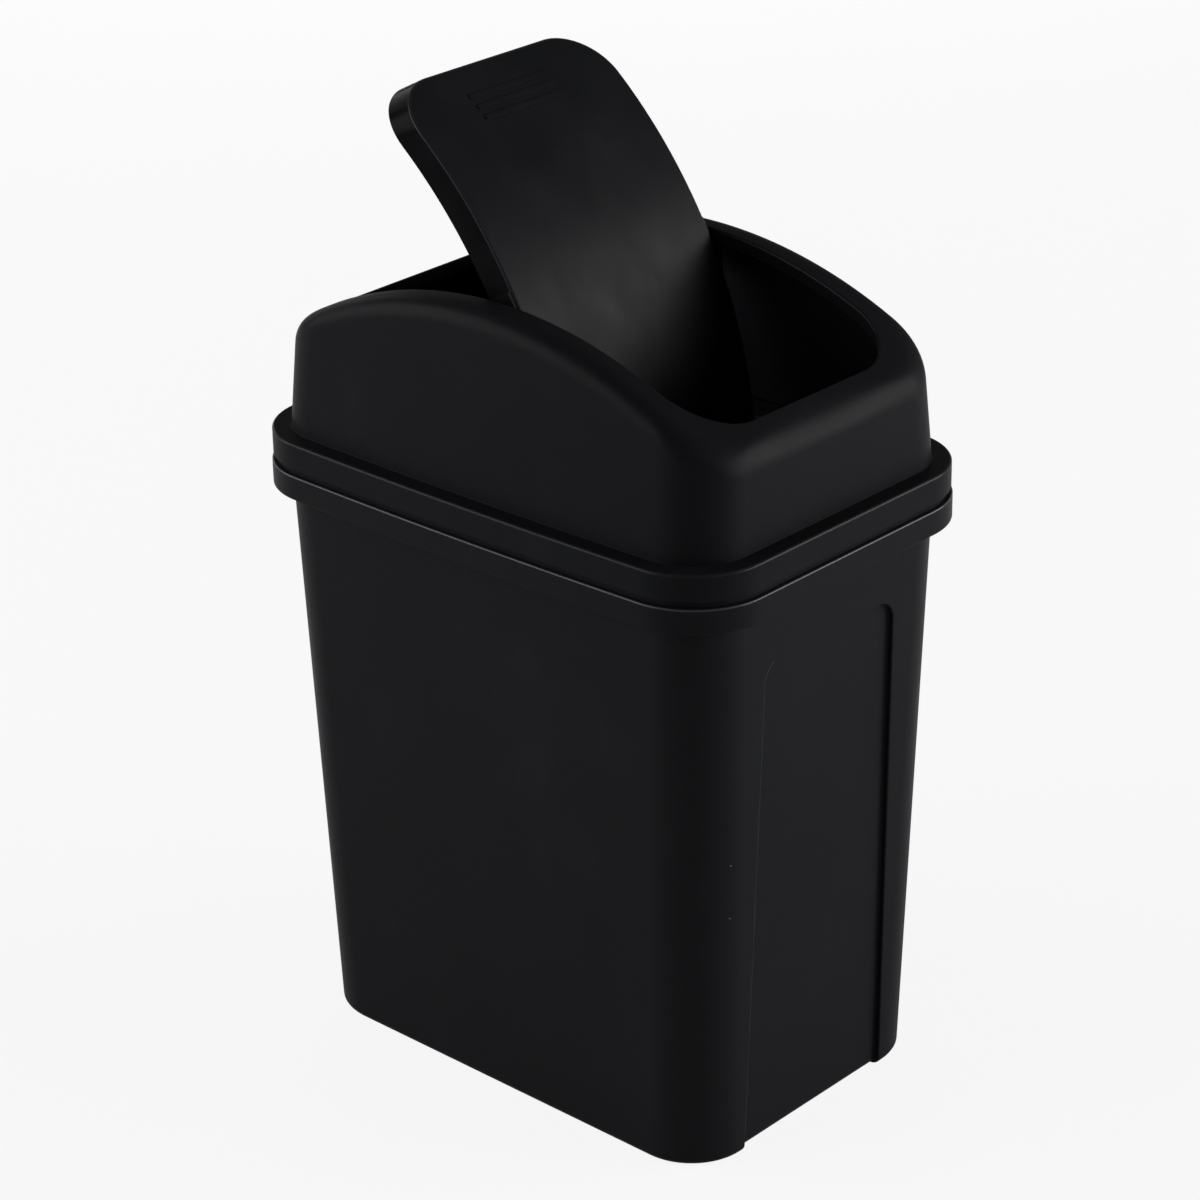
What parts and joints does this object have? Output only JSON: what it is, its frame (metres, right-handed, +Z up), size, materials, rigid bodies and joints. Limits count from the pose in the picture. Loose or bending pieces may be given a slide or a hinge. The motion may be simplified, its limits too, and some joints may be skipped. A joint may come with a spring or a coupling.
{
  "type": "countertop trash can with swing lid",
  "caption": "Small tapered plastic waste bin for a countertop, with a lift-off arched hood and a two-way swing flap that is pushed to drop waste in.",
  "frame": {"origin": "middle of the base, on the surface that the bin stands on", "axes": "+Z up, X across the bin along the flap's pivot, Y along the bin, with the flap's raised end at +Y"},
  "size_m": [0.1476, 0.2112, 0.351],
  "materials": {
    "bin_plastic": "satin black moulded polypropylene, lightly grained",
    "hood_plastic": "satin black moulded polypropylene, lightly grained",
    "flap_plastic": "satin black moulded polypropylene, slightly smoother"
  },
  "bodies": {
    "bin": {"bin": "bin_plastic"},
    "hood": {"hood": "hood_plastic"},
    "flap": {"flap": "flap_plastic"}
  },
  "joints": [
    {"name": "hood_lift", "type": "slide", "parent": "bin", "child": "hood", "axis": [0, 0, 1], "range_m": [0, 0.12]},
    {"name": "flap_swing", "type": "hinge", "parent": "hood", "child": "flap", "pos_m": [0, 0, 0.2822], "axis": [1, 0, 0], "range_deg": [-152.4, 27.6]}
  ]
}
